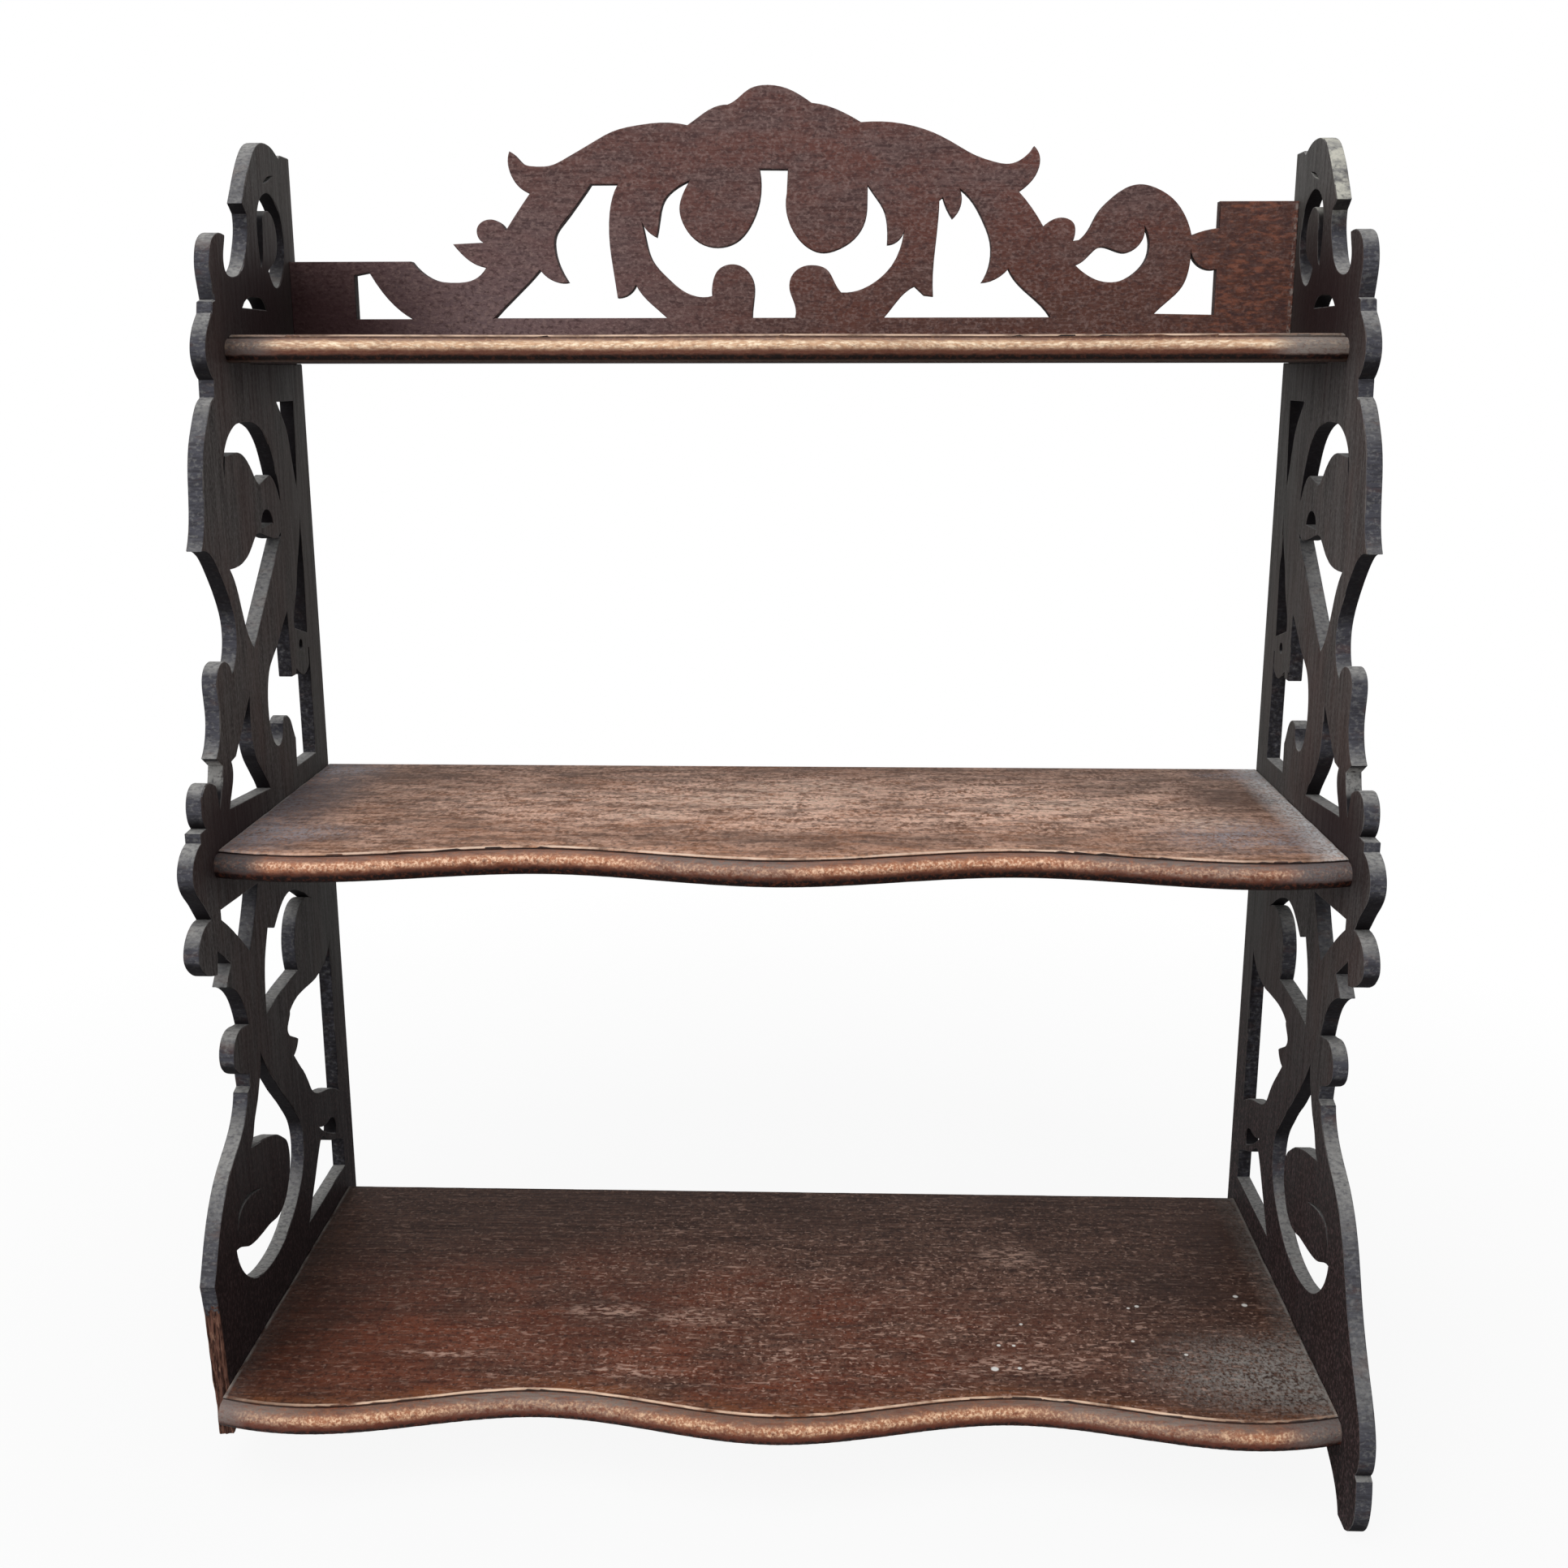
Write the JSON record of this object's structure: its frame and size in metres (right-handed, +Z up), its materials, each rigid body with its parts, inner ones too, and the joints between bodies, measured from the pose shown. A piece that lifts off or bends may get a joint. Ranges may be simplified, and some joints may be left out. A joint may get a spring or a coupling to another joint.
{
  "type": "carved wall shelf",
  "caption": "Hanging wall shelf with pierced scroll-cut sides, serpentine moulded shelves and a pierced crest over the top shelf, in dark stained wood.",
  "frame": {"origin": "middle of the middle shelf's back edge, half way up its thickness, on the wall plane", "axes": "+X to the viewer's right, +Y into the wall, +Z up"},
  "size_m": [0.576, 0.28, 0.704],
  "materials": {
    "side_wood": "dark stained, worn and dusty",
    "shelf_wood": "stained, worn to golden brown on the nosing",
    "crest_wood": "dark red-brown stain, dull",
    "screw_steel": "dulled and dark"
  },
  "bodies": {
    "root": {"left_side": "side_wood", "right_side": "side_wood", "top_shelf": "shelf_wood", "middle_shelf": "shelf_wood", "bottom_shelf": "shelf_wood", "crest": "crest_wood", "side_screws": "screw_steel", "crest_screws": "screw_steel"}
  },
  "joints": []
}
